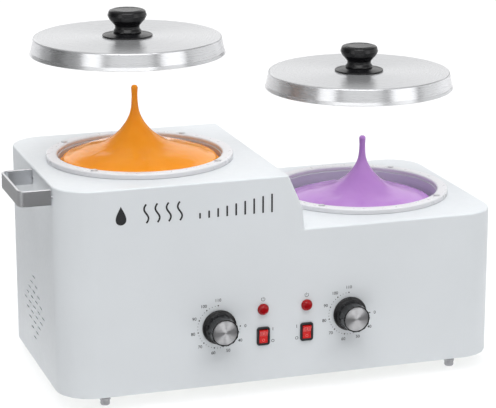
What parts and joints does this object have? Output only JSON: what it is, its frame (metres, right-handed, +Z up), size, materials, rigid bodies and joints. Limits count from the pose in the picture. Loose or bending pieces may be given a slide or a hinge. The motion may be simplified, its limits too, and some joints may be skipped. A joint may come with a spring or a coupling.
{
  "type": "wax warmer pot",
  "caption": "Stepped sheet-metal wax warmer with a tall and a low pot, lift-off lids, thermostat dials, rocker switches, neon lamps and side handles.",
  "frame": {"origin": "centre of the footprint of the whole object, on the surface that the feet stand on", "axes": "+X along the body from the tall pot to the low pot, +Y from the control panel to the rear, +Z up"},
  "size_m": [0.582, 0.2944, 0.4164],
  "materials": {
    "body_paint": "light grey-white semi-gloss powder coat",
    "spun_aluminium": "spun, dull",
    "lid_aluminium": "satin, concentric brushing",
    "rivet_aluminium": "satin",
    "dial_cap_aluminium": "radially brushed",
    "handle_steel": "satin to polished",
    "zinc_steel": "zinc plated",
    "black_plastic": "moulded, semi-gloss",
    "rocker_red": "moulded, gloss",
    "lamp_red": "clear red, domed",
    "foot_plastic": "soft translucent grey",
    "mica_foil": "mica band with steel foil",
    "glass_wool": "fibrous blanket",
    "ceramic": "unglazed",
    "amber_wax": "molten, wet gloss",
    "lilac_wax": "molten, wet gloss"
  },
  "bodies": {
    "root": {"side_band": "body_paint", "deck_plate": "body_paint", "base_pan": "zinc_steel", "foot_1": "foot_plastic", "foot_2": "foot_plastic", "foot_3": "foot_plastic", "foot_4": "foot_plastic", "pot_left": "spun_aluminium", "rim_ring_left": "body_paint", "rim_rivet_left_1": "rivet_aluminium", "rim_rivet_left_2": "rivet_aluminium", "rim_rivet_left_3": "rivet_aluminium", "rim_rivet_left_4": "rivet_aluminium", "band_heater_left": "mica_foil", "insulation_left": "glass_wool", "wax_fill_left": "amber_wax", "wax_peak_left": "amber_wax", "thermostat_left": "zinc_steel", "switch_frame_left": "black_plastic", "lamp_lens_left": "lamp_red", "lamp_body_left": "black_plastic", "handle_left": "handle_steel", "handle_nut_left_1": "zinc_steel", "handle_nut_left_2": "zinc_steel", "pot_right": "spun_aluminium", "rim_ring_right": "body_paint", "rim_rivet_right_1": "rivet_aluminium", "rim_rivet_right_2": "rivet_aluminium", "rim_rivet_right_3": "rivet_aluminium", "rim_rivet_right_4": "rivet_aluminium", "band_heater_right": "mica_foil", "insulation_right": "glass_wool", "wax_fill_right": "lilac_wax", "wax_peak_right": "lilac_wax", "thermostat_right": "zinc_steel", "switch_frame_right": "black_plastic", "lamp_lens_right": "lamp_red", "lamp_body_right": "black_plastic", "handle_right": "handle_steel", "handle_nut_right_1": "zinc_steel", "handle_nut_right_2": "zinc_steel", "power_inlet": "black_plastic", "terminal_block": "ceramic"},
    "lid_left": {"lid_left": "lid_aluminium", "lid_knob_flange_left": "black_plastic", "lid_knob_left": "black_plastic", "lid_screw_left": "zinc_steel"},
    "lid_right": {"lid_right": "lid_aluminium", "lid_knob_flange_right": "black_plastic", "lid_knob_right": "black_plastic", "lid_screw_right": "zinc_steel"},
    "dial_left": {"dial_knob_left": "black_plastic", "dial_cap_left": "dial_cap_aluminium", "thermostat_shaft_left": "zinc_steel"},
    "dial_right": {"dial_knob_right": "black_plastic", "dial_cap_right": "dial_cap_aluminium", "thermostat_shaft_right": "zinc_steel"},
    "rocker_left": {"switch_rocker_left": "rocker_red"},
    "rocker_right": {"switch_rocker_right": "rocker_red"}
  },
  "joints": [
    {"name": "lid_left_lift", "type": "slide", "parent": "root", "child": "lid_left", "axis": [-0.0995, 0, 0.995], "range_m": [-0.1206, 0], "deforming": ["wax_peak_left"]},
    {"name": "lid_right_lift", "type": "slide", "parent": "root", "child": "lid_right", "axis": [0, 0, 1], "range_m": [-0.125, 0], "deforming": ["wax_peak_right"]},
    {"name": "dial_left_turn", "type": "hinge", "parent": "root", "child": "dial_left", "pos_m": [-0.079, -0.12325, 0.082], "axis": [0, 1, 0], "range_deg": [0, 264]},
    {"name": "dial_right_turn", "type": "hinge", "parent": "root", "child": "dial_right", "pos_m": [0.074, -0.12325, 0.082], "axis": [0, 1, 0], "range_deg": [0, 264]},
    {"name": "rocker_left_tilt", "type": "hinge", "parent": "root", "child": "rocker_left", "pos_m": [-0.028, -0.12225, 0.066], "axis": [-1, 0, 0], "range_deg": [0, 16]},
    {"name": "rocker_right_tilt", "type": "hinge", "parent": "root", "child": "rocker_right", "pos_m": [0.023, -0.12225, 0.066], "axis": [-1, 0, 0], "range_deg": [0, 16]}
  ]
}
